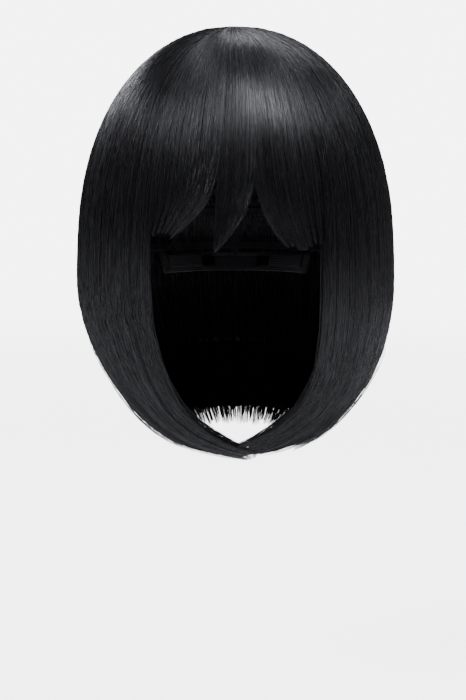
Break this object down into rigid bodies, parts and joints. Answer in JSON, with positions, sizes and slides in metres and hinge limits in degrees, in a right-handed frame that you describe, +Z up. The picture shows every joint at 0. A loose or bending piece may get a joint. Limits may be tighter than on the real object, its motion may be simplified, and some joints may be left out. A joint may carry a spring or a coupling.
{
  "type": "wig",
  "caption": "Short bob costume wig: stretch cap with stitched fibre wefts, ear tabs and nape adjusters, fringe in locks, side and back hair curving in under the chin.",
  "frame": {"origin": "inside apex of the cap, where the crown of the wearer's head seats", "axes": "+Z up along the wearer's head, -Y the way the face looks, +X the wearer's left"},
  "size_m": [0.2218, 0.2394, 0.2908],
  "materials": {
    "hair_fibre": "near-black glossy synthetic fibre, straight",
    "weft_header": "stitched fibre header, black thread",
    "cap_net": "black stretch net, matte",
    "elastic_band": "black woven elastic, matte",
    "scalp_patch": "beige tricot backing, matte",
    "hook_plastic": "black moulded nylon, semi-gloss",
    "stay_strip": "thin bendable strip, satin"
  },
  "bodies": {
    "cap": {"back_weft_1": "weft_header", "back_weft_2": "weft_header", "back_weft_3": "weft_header", "back_weft_4": "weft_header", "back_weft_5": "weft_header", "centre_back_ribbon": "elastic_band", "crown_hair": "hair_fibre", "crown_net": "cap_net", "crown_weft_1": "weft_header", "crown_weft_2": "weft_header", "crown_weft_3": "weft_header", "crown_weft_4": "weft_header", "fringe_weft_1": "weft_header", "fringe_weft_2": "weft_header", "front_band": "elastic_band", "left_adjuster_strap": "elastic_band", "left_back_ribbon": "elastic_band", "left_front_ribbon": "elastic_band", "left_hook_loops": "elastic_band", "left_inner_hair": "hair_fibre", "left_side_panel": "cap_net", "left_side_weft_1": "weft_header", "left_side_weft_2": "weft_header", "left_side_weft_3": "weft_header", "nape_band": "elastic_band", "nape_inner_hair": "hair_fibre", "nape_panel": "cap_net", "right_adjuster_strap": "elastic_band", "right_back_ribbon": "elastic_band", "right_front_ribbon": "elastic_band", "right_hook_loops": "elastic_band", "right_inner_hair": "hair_fibre", "right_side_panel": "cap_net", "right_side_weft_1": "weft_header", "right_side_weft_2": "weft_header", "right_side_weft_3": "weft_header", "scalp_patch": "scalp_patch"},
    "right_fringe": {"fringe_right_lock": "hair_fibre"},
    "centre_fringe": {"fringe_centre_lock": "hair_fibre"},
    "left_fringe": {"fringe_left_lock": "hair_fibre"},
    "left_side": {"left_side_hair": "hair_fibre"},
    "right_side": {"right_side_hair": "hair_fibre"},
    "back": {"back_hair": "hair_fibre"},
    "left_ear": {"left_ear_tab": "elastic_band", "left_ear_stay": "stay_strip"},
    "right_ear": {"right_ear_tab": "elastic_band", "right_ear_stay": "stay_strip"},
    "left_hook": {"left_adjuster_hook": "hook_plastic"},
    "right_hook": {"right_adjuster_hook": "hook_plastic"}
  },
  "joints": [
    {"name": "right_fringe_lift", "type": "hinge", "parent": "cap", "child": "right_fringe", "pos_m": [-0.03049, -0.09253, -0.05067], "axis": [-0.9455, 0.3256, 0], "range_deg": [0, 35]},
    {"name": "centre_fringe_lift", "type": "hinge", "parent": "cap", "child": "centre_fringe", "pos_m": [0.00098, -0.09785, -0.05067], "axis": [-0.9999, -0.0105, 0], "range_deg": [0, 35]},
    {"name": "left_fringe_lift", "type": "hinge", "parent": "cap", "child": "left_fringe", "pos_m": [0.03126, -0.09225, -0.05067], "axis": [-0.9426, -0.3338, 0], "range_deg": [0, 35]},
    {"name": "left_side_lift", "type": "hinge", "parent": "cap", "child": "left_side", "pos_m": [0.09364, 0, -0.05067], "axis": [0, -1, 0], "range_deg": [0, 25]},
    {"name": "right_side_lift", "type": "hinge", "parent": "cap", "child": "right_side", "pos_m": [-0.09364, 0, -0.05067], "axis": [0, 1, 0], "range_deg": [0, 25]},
    {"name": "back_lift", "type": "hinge", "parent": "cap", "child": "back", "pos_m": [0, 0.10461, -0.05067], "axis": [1, 0, 0], "range_deg": [0, 25]},
    {"name": "left_ear_bend", "type": "hinge", "parent": "cap", "child": "left_ear", "pos_m": [0.07442, -0.02218, -0.09432], "axis": [-0.2419, -0.9703, 0], "range_deg": [-6, 10]},
    {"name": "right_ear_bend", "type": "hinge", "parent": "cap", "child": "right_ear", "pos_m": [-0.07442, -0.02218, -0.09432], "axis": [-0.2419, 0.9703, 0], "range_deg": [-6, 10]},
    {"name": "left_hook_slide", "type": "slide", "parent": "cap", "child": "left_hook", "axis": [-0.9438, 0.3306, 0], "range_m": [0, 0.0072]},
    {"name": "right_hook_slide", "type": "slide", "parent": "cap", "child": "right_hook", "axis": [0.9438, 0.3306, 0], "range_m": [0, 0.0072]}
  ]
}
